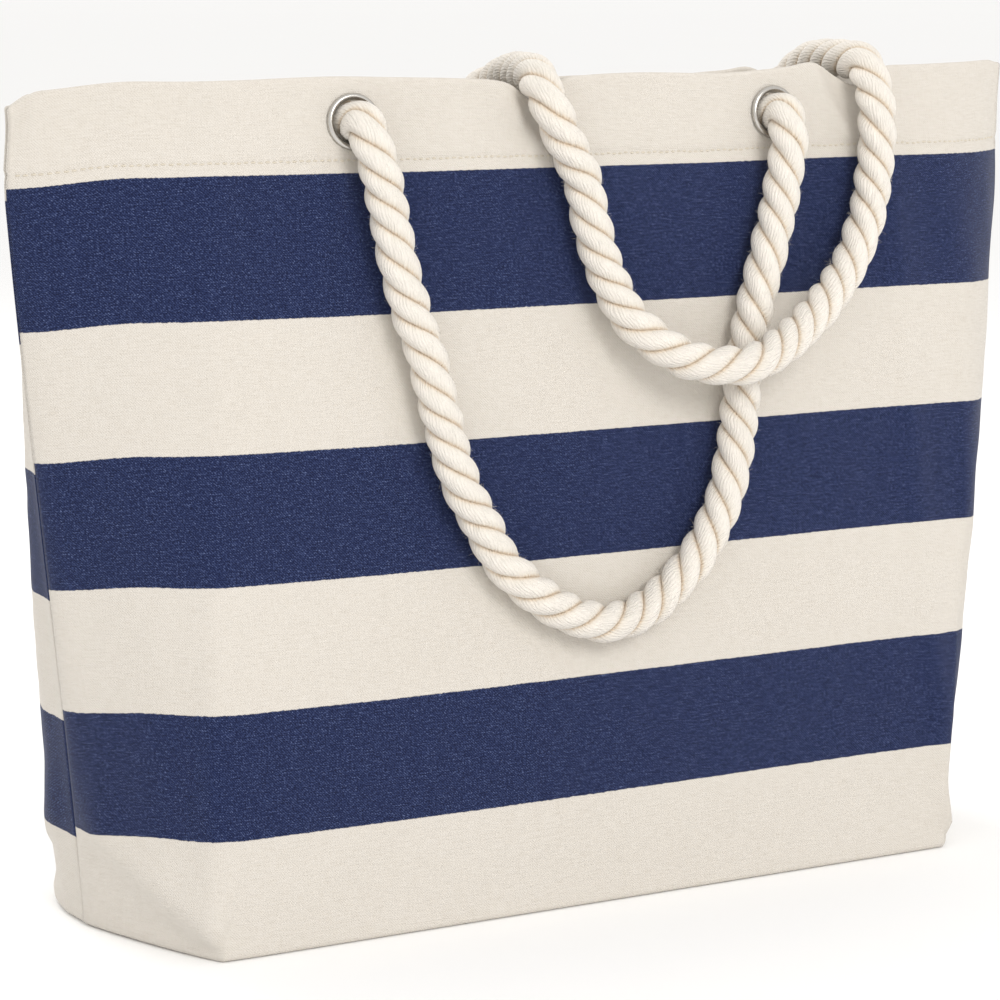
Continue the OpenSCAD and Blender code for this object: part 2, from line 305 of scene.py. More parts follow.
def thread_material():
    material, nodes, links, shader = new_material("cotton_thread")
    wave = add_node(nodes, "ShaderNodeTexNoise", Scale=1800.0, Detail=2.0)
    ramp = color_ramp(nodes, [(0.3, (0.57, 0.51, 0.41, 1)), (0.7, (0.66, 0.605, 0.51, 1))])
    links.new(wave.outputs["Fac"], ramp.inputs["Fac"])
    links.new(ramp.outputs["Color"], shader.inputs["Base Color"])
    bump = add_node(nodes, "ShaderNodeBump", Strength=0.4, Distance=0.0001)
    links.new(wave.outputs["Fac"], bump.inputs["Height"])
    links.new(bump.outputs["Normal"], shader.inputs["Normal"])
    shader.inputs["Roughness"].default_value = 0.8
    return material


def nickel_material():
    """Polished nickel plate with faint rolling marks and handling haze; its colour is darkened and mottled as
    a painted reflection of darker surroundings.
    """
    material, nodes, links, shader = new_material("nickel")
    haze_and_painted_reflection = add_node(nodes, "ShaderNodeTexNoise", Scale=220.0, Detail=4.0, Roughness=0.6)
    # painted reflection: the darker, mottled plate colour stands in for dark surroundings mirrored in the
    # metal, and the same noise varies roughness as real haze
    tint = color_ramp(nodes, [(0.3, (0.44, 0.42, 0.39, 1)), (0.7, (0.60, 0.58, 0.55, 1))])
    links.new(haze_and_painted_reflection.outputs["Fac"], tint.inputs["Fac"])
    links.new(tint.outputs["Color"], shader.inputs["Base Color"])
    rough = nodes.new("ShaderNodeMapRange")
    rough.inputs["To Min"].default_value = 0.16
    rough.inputs["To Max"].default_value = 0.34
    links.new(haze_and_painted_reflection.outputs["Fac"], rough.inputs["Value"])
    links.new(rough.outputs["Result"], shader.inputs["Roughness"])
    scratch = add_node(nodes, "ShaderNodeTexNoise", Scale=1500.0, Detail=2.0)
    bump = add_node(nodes, "ShaderNodeBump", Strength=0.12, Distance=0.00005)
    links.new(scratch.outputs["Fac"], bump.inputs["Height"])
    links.new(bump.outputs["Normal"], shader.inputs["Normal"])
    shader.inputs["Metallic"].default_value = 1.0
    return material


# ---------------------------------------------------------------- mesh helpers
def mesh_object(name, points, faces, material, uv=None, uv_name="cloth", smooth=True):
    """A mesh from points in mm; uv gives each face corner's coordinate in mm."""
    mesh = bpy.data.meshes.new(name)
    mesh.from_pydata((np.asarray(points, float) * MM).tolist(), [], [list(f) for f in faces])
    if uv is not None:
        layer = mesh.uv_layers.new(name=uv_name)
        layer.data.foreach_set("uv", (np.asarray(uv, float) * MM).astype(np.float32).ravel())
    mesh.materials.append(material)
    mesh.polygons.foreach_set("use_smooth", [smooth] * len(mesh.polygons))
    mesh.update()
    thing = bpy.data.objects.new(name, mesh)
    bpy.context.collection.objects.link(thing)
    return thing


def grid_faces(rows, columns, closed=False):
    """Quads of a grid of points stored row by row."""
    last = columns if closed else columns - 1
    r, c = np.meshgrid(np.arange(rows - 1), np.arange(last), indexing="ij")
    a = r * columns + c
    b = r * columns + (c + 1) % columns
    return np.stack([a, b, b + columns, a + columns], -1).reshape(-1, 4)


def smoothstep(x):
    x = np.clip(x, 0, 1)
    return x * x * (3 - 2 * x)


def bump_at(x, centre, width):
    return np.exp(-((x - centre) / width) ** 2)


def ripple(a, b, seed, size, count=7):
    """Smooth repeatable waves: a sum of sines in random directions."""
    rng = np.random.default_rng(seed)
    total = np.zeros(np.broadcast(a, b).shape)
    for _ in range(count):
        angle, phase = rng.uniform(0, 2 * math.pi, 2)
        length = size * rng.uniform(0.7, 1.6)
        total = total + np.sin(2 * math.pi * (a * math.cos(angle) + b * math.sin(angle)) / length + phase)
    return total / math.sqrt(count)


# ---------------------------------------------------------------- the bag's surface
def smooth_wall(u, t, side):
    """The wall without creases: cloth position u from -1 (left seam) to 1, height
    share t, and side -1 for the front panel or 1 for the back."""
    end = np.abs(u)
    right_growth = CORNER_GROWTH + np.minimum(60 * t, 25)
    left_growth = CORNER_GROWTH * (1 - smoothstep(t / 0.16))
    half_flat = FLAT_W / 2 + np.where(u > 0, right_growth, left_growth)
    turn = np.clip((end * HALF_GIRTH - half_flat) / (HALF_GIRTH - half_flat), 0, 1.02) * math.pi / 2
    flat = end * HALF_GIRTH <= half_flat
    ridge = 6 + 55 * np.clip((end * HALF_GIRTH - 180) / 80, 0, 1)
    boxed = 0.75 * (1 - np.clip(t * BODY_H / ridge, 0, 1))
    boxed = boxed * (1 if side < 0 else 0.25)
    boxed = 1 + np.where(u > 0, np.maximum(boxed, 0.6 * (1 - smoothstep(t / 0.6))), boxed)
    base_x = half_flat + (BASE_W / 2 - half_flat) * np.clip(np.sin(turn), 0, 1) ** boxed
    base_x = np.where(flat, u * HALF_GIRTH, np.sign(u) * base_x)
    base_y = BASE_D / 2 * np.clip(np.cos(turn), 0, 1) ** boxed
    mouth_x = u * MOUTH_W / 2
    mouth_y = MOUTH_GAP / 2 * (1 - u ** 4)
    x = base_x + (mouth_x - base_x) * t
    y = side * (base_y + (mouth_y - base_y) * t)
    z = BODY_H * t + 0 * x

    # the ends lean out a little, and the right end of the mouth bends forward
    belly = np.sin(math.pi * np.clip(t, 0, 1))
    right = smoothstep((u - 0.5) / 0.5)
    left = smoothstep((-u - 0.6) / 0.4)
    right_out = 4 * t + 4.5 * belly - 2 * (1 - smoothstep(t / 0.3))
    left_out = 1.8 + 5 * smoothstep(t / 0.85) - 4.5 * smoothstep((t - 0.87) / 0.13)
    x = x - 4 * (1 - t) + right * right_out - left * left_out
    x = x - right * 4 * smoothstep((t - 0.82) / 0.15)
    y = y - right * (11 * t + 4 * belly) + left * 5 * (1 - t) ** 2
    near_corner = smoothstep((u - 0.5) / 0.2) * (1 - 0.8 * smoothstep((u - 0.78) / 0.22))
    x = x + near_corner * bump_at(t, 0.16, 0.16) * 5
    pulled = smoothstep(t / 0.1) * (1 - smoothstep((t - 0.28) / 0.42))
    x = x - smoothstep((u - 0.5) / 0.25) * 5.6 * pulled
    corner = bump_at(end, 0.86, 0.11) * smoothstep((1 - end) / 0.06)
    swell = np.sin(math.pi * np.clip(0.95 * t + 0.12, 0, 1)) ** 0.8
    if side > 0:
        reach = corner * swell * np.where(u < 0, 16, 6)
    else:
        reach = corner * belly * np.where(u < 0, -2, 2)
    x = x + np.sign(u) * 0.75 * reach
    y = y + side * 0.66 * reach

    # the seam ends hang lower, and the left corner of the rim is rounded off
    above = smoothstep(t / 0.12)
    z = z - above * 4 * smoothstep((-u - 0.8) / 0.2)
    end_drop = 3.2 * (1 - t) * smoothstep((u - 0.75) / 0.25)
    z = z - above * (end_drop + (3 - 4 * t) * smoothstep((u - 0.87) / 0.13))
    z = z + 0.5 * above * bump_at(u, -0.65, 0.22)
    by_rim = smoothstep((t - 0.85) / 0.15)
    z = z + by_rim * (2.2 * smoothstep((u - 0.25) / 0.3) - 1.2 * smoothstep((-u - 0.42) / 0.3))
    z = z - smoothstep((t - 0.93) / 0.07) * (5.5 * smoothstep((-u - 0.945) / 0.055)
                                             + 1.5 * smoothstep((u - 0.955) / 0.045))
    return np.stack([x, y, z], -1)


def crease(s, h, start, end, width):
    """1 on a straight line between two cloth points, falling off across it."""
    (s0, h0), (s1, h1) = start, end
    length = math.hypot(s1 - s0, h1 - h0)
    along = ((s - s0) * (s1 - s0) + (h - h0) * (h1 - h0)) / length
    across = ((s - s0) * (h1 - h0) - (h - h0) * (s1 - s0)) / length
    fade = smoothstep((along + 8) / 16) * smoothstep((length + 8 - along) / 16)
    return np.exp(-(across / width) ** 2) * fade


def folds(u, t, side):
    """How far the cloth stands out of the smooth wall, mm."""
    s, h = u * HALF_GIRTH, t * BODY_H
    end = np.abs(s)
    seam_free = smoothstep((HALF_GIRTH - end) / 22)
    rim = smoothstep((h - 255) / 95)
    seed = 10 if side < 0 else 60
    out = 1.1 * ripple(s, h * 0.55, seed + 1, 150) * (0.5 + 0.5 * t)
    out = out + 0.45 * ripple(s, h * 0.5, seed + 2, 52) * (0.25 + 0.75 * rim)
    out = out + 0.16 * ripple(s, h, seed + 3, 21)

    # a soft ridge where the face turns into the gusset, and a hollow gusset
    line = 187 - 16 * t
    past = end - line
    out = out + 1.5 * bump_at(past, 0, 7) * (1 - 0.55 * t)
    hollow = smoothstep(past / 22) * smoothstep((HALF_GIRTH - 4 - end) / 30)
    out = out - 2.6 * hollow * (1 - 0.6 * t)

    # the folded corners at the bottom of the gusset
    below = (end - 188) * 0.636 - (h - 2) * 0.772
    out = out + 2.8 * crease(end, h, (188, 2), (256, 58), np.where(below > 0, 4.5, 15))

    # pulls from the eyelets and from the rope lying over the rim
    for x_sign in (-1, 1):
        ds, dh = s - x_sign * 107, h - EYELET_Z
        near = np.exp(-(ds ** 2 + dh ** 2) / 26 ** 2)
        out = out - 0.9 * near
        out = out + 0.7 * crease(s, h, (x_sign * 107 - 9, 326), (x_sign * 107 - 26, 268), 6)
        out = out - 0.5 * crease(s, h, (x_sign * 107 + 9, 324), (x_sign * 107 + 22, 285), 6)
    for x in (-21, 149):
        out = out - 2.2 * bump_at(s, x, 15) * smoothstep((h - 322) / 36)
        out = out + 1.6 * crease(s, h, (x - 14, 357), (x + 6, 326), 4.5)
    if side < 0:
        out = out - 1.6 * bump_at(s, -196, 26) * bump_at(h, 340, 13)
        out = out + 0.9 * crease(s, h, (-214, 352), (-168, 300), 9)
    return out * seam_free


def wall(u, t, side, lift=0.0):
    """A point of the canvas, lift mm outside its smooth outer face."""
    u, t = np.broadcast_arrays(np.asarray(u, float), np.asarray(t, float))
    step = 1e-3
    here = smooth_wall(u, t, side)
    along = smooth_wall(u + step, t, side) - smooth_wall(u - step, t, side)
    upward = smooth_wall(u, t + step, side) - smooth_wall(u, t - step, side)
    normal = np.cross(along, upward) * (1 if side < 0 else -1)
    normal = normal / np.maximum(np.linalg.norm(normal, axis=-1, keepdims=True), 1e-9)
    s, h = u * HALF_GIRTH, t * BODY_H
    sideways = np.abs(normal[..., 1])
    at_seam = (1 - smoothstep((HALF_GIRTH - np.abs(s)) / 8))[..., None]
    end_way = np.stack([np.where(u < 0, -1.0, 1.0), 0 * u, 0 * u], -1)
    normal = normal * (1 - at_seam) + end_way * at_seam
    normal = normal / np.maximum(np.linalg.norm(normal, axis=-1, keepdims=True), 1e-9)
    fade = smoothstep((h - 5) / (26 - 18 * smoothstep((np.abs(s) - 172) / 16)))
    out = folds(u, t, side) * fade
    out = out - 0.9 * np.exp(-((HALF_GIRTH - np.abs(s)) / 2.4) ** 2)
    stitch_z = HEM_T * BODY_H
    out = out - 0.45 * bump_at(h, stitch_z, 1.6) + 0.3 * smoothstep((h - stitch_z) / 3)
    out = out + 0.22 * bump_at(h, stitch_z, 6) * np.sin(s * 0.41 + 1.7 * np.sin(s * 0.063))
    here = here + normal * (out + lift)[..., None]

    # the two panels meet at the seam without passing through each other
    seam_y = smooth_wall(np.where(u < 0, -1.0, 1.0), t, side)[..., 1]
    hemmed = smoothstep((t - HEM_T + 0.02) / 0.02)
    own = 0.62 + 1.25 * hemmed * np.clip((lift + 2.4) / 1.8, 0, 1)
    here[..., 1] = seam_y + side * np.maximum(side * (here[..., 1] - seam_y), own * sideways)

    top = smoothstep((t - 0.9) / 0.1)
    dip = 3.2 * bump_at(s, -22, 12) + 1.6 * bump_at(s, -26, 34) + 4.5 * bump_at(s, 152, 10)
    dip = dip - 1.4 * bump_at(s, 134, 8)
    if side < 0:
        dip = dip + 6.2 * bump_at(s, -17, 9) + 7.5 * bump_at(s, 163, 9.5)
    else:
        dip = dip + 8.5 * bump_at(s, -3, 11) + 9.0 * bump_at(s, 167, 11)
    dip = dip + (0.5 * ripple(s, 0 * s, 7 if side < 0 else 8, 90) + (0 if side < 0 else 3.0)) * seam_window(s)
    here[..., 2] -= top * dip
    return here


def seam_window(s):
    return smoothstep((HALF_GIRTH - np.abs(s)) / 30)


def wall_normal(u, t, side):
    step = 4e-3
    along = wall(u + step, t, side) - wall(u - step, t, side)
    upward = wall(u, t + step, side) - wall(u, t - step, side)
    normal = np.cross(along, upward) * (1 if side < 0 else -1)
    return normal / np.linalg.norm(normal, axis=-1, keepdims=True)


def eyelet_frame(x_sign, side):
    """Centre of an eyelet on the canvas and the direction it faces."""
    t = EYELET_Z / BODY_H
    u = EYELET_X / (HALF_GIRTH * (1 - t) + MOUTH_W / 2 * t)
    y = BASE_D / 2 * (1 - t) + MOUTH_GAP / 2 * (1 - u ** 4) * t
    yaw = math.atan(4 * MOUTH_GAP / MOUTH_W * u ** 3)
    centre = np.array([x_sign * EYELET_X, side * y, EYELET_Z])
    out = np.array([x_sign * math.sin(yaw) * math.cos(LEAN), side * math.cos(yaw) * math.cos(LEAN),
                    math.sin(LEAN)])
    return centre, out


def panel(side, outside, inside):
    """One canvas panel: its half of the base, the rounded base edge, the wall, the
    fold of the rim and the hem turned down inside, as one sheet with thickness."""
    columns = 211
    u = np.linspace(-1, 1, columns)
    rows, heights = [], []
    round_r, half = 3.0, CANVAS_T / 2
    edge = smooth_wall(u, 0 * u, side)
    inward = -np.stack([np.sign(u) * np.maximum(0, np.abs(u) - 0.7) * 3.3,
                        edge[:, 1] / (BASE_D / 2), 0 * u], -1)
    inward /= np.maximum(np.linalg.norm(inward, axis=1, keepdims=True), 1e-9)
    for share in np.linspace(0, 1, 24):
        row = edge + inward * (round_r + half)
        seam_y = edge[0, 1] + (edge[-1, 1] - edge[0, 1]) * (u + 1) / 2
        row[:, 1] = seam_y + (row[:, 1] - seam_y) * share
        row[:, 2] = half
        rows.append(row)
        heights.append(-BASE_D / 2 * (1 - share))
    for angle in np.radians(np.linspace(0, 90, 7)[1:]):
        z = round_r * (1 - math.cos(angle))
        row = smooth_wall(u, z / BODY_H + 0 * u, side) + inward * (round_r * (1 - math.sin(angle)) + half)
        row[:, 2] += half * math.cos(angle)
        rows.append(row)
        heights.append(z)
    for t in np.concatenate([np.linspace(round_r / BODY_H, 0.86, 100)[1:], np.linspace(0.86, 1, 42)[1:]]):
        rows.append(wall(u, t, side, -half))
        heights.append(t * SLANT_H)
    for angle in np.radians(np.linspace(0, 180, 8)[1:]):
        row = wall(u, 1.0, side, -half - ROLL_R + ROLL_R * math.cos(angle))
        row[:, 2] += ROLL_R * math.sin(angle)
        rows.append(row)
        heights.append(SLANT_H + angle * ROLL_R)
    for t in np.linspace(1, HEM_T + 0.002, 24)[1:]:
        rows.append(wall(u, t, side, -half - 2 * ROLL_R))
        heights.append(SLANT_H + 3 + (1 - t) * SLANT_H)
    points = np.concatenate(rows)
    faces = grid_faces(len(rows), columns)
    if side > 0:
        faces = faces[:, ::-1]
    u_mm = np.tile(u * HALF_GIRTH, len(rows))
    v_mm = np.repeat(heights, columns) + (0 if side < 0 else 5.0)
    faces, points = punch_eyelets(faces, points, side)
    uv = np.stack([u_mm[faces], v_mm[faces]], -1).reshape(-1, 2)
    used = np.unique(faces)
    remap = np.zeros(len(points), int)
    remap[used] = np.arange(len(used))
    sheet_name = "front_canvas" if side < 0 else "back_canvas"
    sheet = mesh_object(sheet_name, points[used], remap[faces], outside, uv)
    sheet.data.materials.append(inside)
    weld(sheet)
    thicken(sheet, CANVAS_T, 0, 1)
    return sheet


def punch_eyelets(faces, points, side):
    """Cuts the round holes for the eyelets: faces over a hole go, and the points
    left round it move onto a circle."""
    for x_sign in (-1, 1):
        centre, out = eyelet_frame(x_sign, side)
        offset = points - centre
        axial = offset @ out
        radial = offset - axial[:, None] * out
        distance = np.linalg.norm(radial, axis=1)
        middle = distance[faces].mean(axis=1)
        over = (middle < 9.5) & (np.abs(axial[faces]).max(axis=1) < 9)
        ring = np.intersect1d(np.unique(faces[over]), np.unique(faces[~over]))
        points[ring] += radial[ring] * (9.7 / distance[ring] - 1)[:, None]
        faces = faces[~over]
    return faces, points


def weld(thing, distance=2e-5):
    modifier = thing.modifiers.new("weld", "WELD")
    modifier.merge_threshold = distance
    bake_modifiers(thing)


def thicken(thing, thickness, offset=-1, inner_slot=0):
    modifier = thing.modifiers.new("thickness", "SOLIDIFY")
    modifier.thickness = thickness * MM
    modifier.offset = offset
    modifier.material_offset = inner_slot
    bake_modifiers(thing)


def bake_modifiers(thing):
    graph = bpy.context.evaluated_depsgraph_get()
    graph.update()
    mesh = bpy.data.meshes.new_from_object(thing.evaluated_get(graph))
    thing.modifiers.clear()
    thing.data = mesh


def seam_strip(name, centre_line, reach, material, thickness=2.4, wave=0.5):
    """A seam allowance: two raw edges standing off a seam, slightly wavy. The
    centre line is on the seam and reach points across the strip, both in mm."""
    line = np.asarray(centre_line, float)
    reach = np.broadcast_to(np.asarray(reach, float), line.shape)
    across = np.cross(np.gradient(line, axis=0), reach)
    across /= np.linalg.norm(across, axis=1, keepdims=True)
    columns = 7
    along = np.arange(len(line))
    rows = []
    for k in range(columns):
        share = k / (columns - 1)
        sway = wave * share * np.sin(along * 0.55 + 0.9 * np.sin(along * 0.13))
        rows.append(line + reach * share + across * sway[:, None])
    points = np.concatenate(rows)
    faces = grid_faces(columns, len(line))
    run = np.concatenate([[0], np.cumsum(np.linalg.norm(np.diff(line, axis=0), axis=1))])
    width = np.linalg.norm(reach, axis=1).mean()
    u_mm, v_mm = np.tile(run, columns), np.repeat(np.linspace(-40, -40 + width, columns), len(line))
    cloth_uv = np.stack([u_mm[faces], v_mm[faces]], -1).reshape(-1, 2)
    strip = mesh_object(name, points, faces, material, cloth_uv)
    thicken(strip, thickness, 0)
    return strip


def stitch_line(name, places, normals, material, radius=0.34, sink=0.28):
    """Separate thread stitches: each a short bent bead whose ends dive into the
    cloth. places holds each stitch's two ends."""
    stations, sides = 7, 6
    share = np.linspace(0, 1, stations)
    arch = np.sin(math.pi * share)
    thick = radius * np.clip(0.35 + 1.3 * arch, 0, 1)
    angle = np.linspace(0, 2 * math.pi, sides, endpoint=False)
    points, faces, base = [], [], 0
    quads = grid_faces(stations, sides, closed=True)
    for (a, b), n in zip(places, normals):
        along = (b - a) / np.linalg.norm(b - a)
        across = np.cross(n, along)
        core = a + (b - a) * share[:, None] + n * (radius * 0.75 * arch - sink * (1 - arch))[:, None]
        around = np.cos(angle)[None, :, None] * across + np.sin(angle)[None, :, None] * n
        ring = around * thick[:, None, None]
        points.append((core[:, None] + ring).reshape(-1, 3))
        faces += [tuple(q + base) for q in quads[:, ::-1]]
        faces.append(tuple(range(base, base + sides)))
        last = base + (stations - 1) * sides
        faces.append(tuple(range(last + sides - 1, last - 1, -1)))
        base += stations * sides
    return mesh_object(name, np.concatenate(points), faces, material)


def hem_stitches(side, inner, material):
    """The stitching that holds the hem, 3.2 mm a stitch, along the panel."""
    rng = np.random.default_rng(5 + side + inner)
    pitch = 3.2 / HALF_GIRTH
    spaced = np.arange(-0.982, 0.978, pitch)
    starts = spaced + rng.uniform(-0.0006, 0.0006, len(spaced))
    lift = -2 * ROLL_R - CANVAS_T - 0.05 if inner else 0.0
    height = HEM_T + (0.0045 if inner else 0)
    heights = height + rng.uniform(-0.0007, 0.0007, len(starts))
    a = wall(starts, heights, side, lift)
    b = wall(starts + pitch * 0.76, heights, side, lift)
    normals = wall_normal(starts, heights, side) * (-1 if inner else 1)
    name = ("front" if side < 0 else "back") + ("_hem_stitches_inside" if inner else "_hem_stitches")
    return stitch_line(name, list(zip(a, b)), normals, material)


# ---------------------------------------------------------------- eyelets
def lathe(name, profile, centre, out, material, sides=96):
    """A closed profile (radius, height) turned round the axis out through centre."""
    side_way = np.cross(out, [0, 0, 1])
    side_way /= np.linalg.norm(side_way)
    up = np.cross(side_way, out)
    angle = np.linspace(0, 2 * math.pi, sides, endpoint=False)
    profile = np.asarray(profile, float)
    ring = np.cos(angle)[:, None] * side_way + np.sin(angle)[:, None] * up
    points = centre + profile[:, 0][:, None, None] * ring[None] + profile[:, 1][:, None, None] * out
    faces = grid_faces(len(profile) + 1, sides, closed=True) % (len(profile) * sides)
    return mesh_object(name, points.reshape(-1, 3), faces[:, ::-1], material)


def rounded(points, passes=2):
    """Rounds the corners of a closed profile."""
    p = np.asarray(points, float)
    for _ in range(passes):
        after = np.roll(p, -1, axis=0)
        p = np.stack([0.75 * p + 0.25 * after, 0.25 * p + 0.75 * after], 1).reshape(-1, 2)
    return p


def canvas_seat(x_sign, side):
    """How far the canvas round an eyelet lies from its centre, along its axis (mm)."""
    centre, out = eyelet_frame(x_sign, side)
    t = EYELET_Z / BODY_H
    u = x_sign * EYELET_X / (HALF_GIRTH * (1 - t) + MOUTH_W / 2 * t)
    step = np.array([-11, 0, 11])
    u, t = np.meshgrid(u + step / HALF_GIRTH, t + step / BODY_H)
    return float(((wall(u, t, side) - centre) @ out).mean())


def make_eyelet(x_sign, side, material):
    word = ("front" if side < 0 else "back") + ("_left" if x_sign < 0 else "_right")
    centre, out = eyelet_frame(x_sign, side)
    centre = centre + (canvas_seat(x_sign, side) + 0.2) * out
    bore, rim = EYELET_ID / 2 + 1.2, EYELET_OD / 2
    lip = rounded([(bore, -4.3), (bore + 0.75, -4.3), (bore + 0.75, 0.15), (rim - 0.5, 0.1), (rim, 0.15),
                   (rim, 0.75), (rim - 0.4, 1.5), (rim - 1.1, 1.9), (rim - 1.8, 1.9), (bore + 0.9, 1.4),
                   (bore + 0.3, 0.6), (bore, -0.3)])
    eyelet = lathe(word + "_rolled_eyelet", lip, centre, out, material)
    ring = rounded([(bore + 0.9, -4.25), (rim - 0.2, -4.25), (rim, -4.0), (rim - 0.1, -3.5),
                    (bore + 1.2, -3.5)])
    washer = lathe(word + "_pressed_washer", ring, centre, out, material)
    for thing, node in ((eyelet, "_eyelet"), (washer, "_washer")):
        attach(thing, "bag")
        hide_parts(word + node)


# ---------------------------------------------------------------- rope
def smooth_curve(points, step, soften=3.0):
    """A curve through the points, its corners softened, in even steps (mm)."""
    p = np.asarray(points, float)
    q = np.vstack([2 * p[0] - p[1], p, 2 * p[-1] - p[-2]])
    dense = []
    for i in range(1, len(q) - 2):
        a, b, c, d = q[i - 1:i + 3]
        t = np.linspace(0, 1, 40, endpoint=False)[:, None]
        dense.append(0.5 * (2 * b + (c - a) * t + (2 * a - 5 * b + 4 * c - d) * t ** 2
                            + (3 * b - a - 3 * c + d) * t ** 3))
    dense = np.vstack(dense + [p[-1:]])
    dense = even_steps(dense, 0.5)
    for _ in range(int(4 * soften ** 2)):
        dense[1:-1] = (dense[:-2] + 2 * dense[1:-1] + dense[2:]) / 4
    dense = even_steps(dense, step)
    return dense, np.arange(len(dense)) * np.linalg.norm(dense[1] - dense[0])


def even_steps(line, step):
    length = np.concatenate([[0], np.cumsum(np.linalg.norm(np.diff(line, axis=0), axis=1))])
    even = np.linspace(0, length[-1], max(2, int(round(length[-1] / step)) + 1))
    return np.stack([np.interp(even, length, line[:, k]) for k in range(3)], 1)


def travelling_frames(path):
    """Two directions across the path at each point, turning as little as possible."""
    tangent = np.gradient(path, axis=0)
    tangent /= np.linalg.norm(tangent, axis=1, keepdims=True)
    first = np.cross(tangent[0], [0.3, 1, 0.1])
    across = [first / np.linalg.norm(first)]
    for i in range(1, len(path)):
        v = across[-1] - np.dot(across[-1], tangent[i]) * tangent[i]
        across.append(v / np.linalg.norm(v))
    across = np.array(across)
    return tangent, across, np.cross(tangent, across)


def twisted_rope(name, path, along, frames, material, radius=ROPE_D / 2 + 0.3, lay=ROPE_LAY,
                 sides=60, thin=None):
    """Three strands laid round each other, as one lobed skin along the path. thin
    is the share of its full radius that the rope has at each ring."""
    _, across, out = frames
    strand_off = 0.44 * radius
    strand_r = radius - strand_off
    angle = np.linspace(0, 2 * math.pi, sides + 1)
    lobe = (angle + math.pi / 3) % (2 * math.pi / 3) - math.pi / 3
    reach = strand_off * np.cos(lobe) + np.sqrt(strand_r ** 2 - (strand_off * np.sin(lobe)) ** 2)
    crest = (reach - reach.min()) / (reach.max() - reach.min())
    # soft strands press flat against each other, so the grooves are narrow
    reach = radius * (0.695 + 0.305 * crest ** 0.72)
    strand_angle = np.arctan2(reach * np.sin(lobe), reach * np.cos(lobe) - strand_off)
    wander = 0.16 * np.sin(along / 19.0 + 0.7) + 0.09 * np.sin(along / 7.7 + 2.1)
    twist = -2 * math.pi * along / lay + wander
    spin = angle[None, :-1] + twist[:, None]
    strand = np.round((angle - lobe) / (2 * math.pi / 3)) % 3
    wave = (1 + 0.016 * np.sin(along[:, None] / 15.0 + 2.1 * strand[None, :-1])
            + 0.010 * np.sin(along[:, None] / 5.3 + 1.3 * strand[None, :-1]))
    r = reach[None, :-1] * wave * (1 if thin is None else thin[:, None])
    yarn_turn = (strand_r * strand_angle[None, :] + 0.94 * radius * twist[:, None]) + 19.0 * strand[None, :]
    yarn_wave = 2.2 * np.sin(along[:, None] / 6.1 + strand[None, :-1])
    ridge = np.sin(2 * math.pi * yarn_turn[:, :-1] / 1.9 + yarn_wave)
    r = r + 0.10 * ridge * (0.3 + 0.7 * crest[None, :-1])
    points = (path[:, None] + r[..., None] * (np.cos(spin)[..., None] * across[:, None]
                                              + np.sin(spin)[..., None] * out[:, None]))
    rings = len(path)
    faces = grid_faces(rings, sides, closed=True)
    r_idx, c_idx = np.meshgrid(np.arange(rings - 1), np.arange(sides), indexing="ij")
    corner_r = np.stack([r_idx, r_idx, r_idx + 1, r_idx + 1], -1).reshape(-1)
    corner_c = np.stack([c_idx, c_idx + 1, c_idx + 1, c_idx], -1)
    # the strand a corner belongs to is the strand its face is on
    mid_angle = (angle[:-1] + angle[1:]) / 2
    in_strand = (mid_angle + math.pi / 3) % (2 * math.pi / 3) - math.pi / 3
    face_strand = np.round((mid_angle - in_strand) / (2 * math.pi / 3))
    own = np.tile(face_strand, rings - 1)[:, None].repeat(4, 1).reshape(-1)
    corner_c = corner_c.reshape(-1)
    local = angle[corner_c] - own * 2 * math.pi / 3
    reach_c = reach[corner_c]
    corner_angle = np.arctan2(reach_c * np.sin(local), reach_c * np.cos(local) - strand_off)
    turn = strand_r * corner_angle + 0.94 * radius * twist[corner_r] + 19.0 * (own % 3)
    uv = np.stack([turn, along[corner_r] + 50 * (own % 3)], -1)
    caps, cap_uv = [], []
    for ring, flip in ((0, True), (rings - 1, False)):
        centre = rings * sides + (0 if flip else 1)
        for k in range(sides):
            a, b = ring * sides + k, ring * sides + (k + 1) % sides
            caps.append((centre, b, a) if not flip else (centre, a, b))
            cap_uv += [(0, 0), (k * 0.4, 3), (k * 0.4, 3)]
    all_points = np.vstack([points.reshape(-1, 3), path[0], path[-1]])
    polygons = [tuple(f) for f in faces] + [c[::-1] for c in caps]
    rope = mesh_object(name, all_points, polygons, material, np.vstack([uv, np.array(cap_uv, float)]), "yarn")
    values = np.concatenate([np.tile(crest[:-1], rings), [0.6, 0.6]]).astype(np.float32)
    layer = rope.data.attributes.new("crest", "FLOAT", "POINT")
    layer.data.foreach_set("value", values)
    return rope


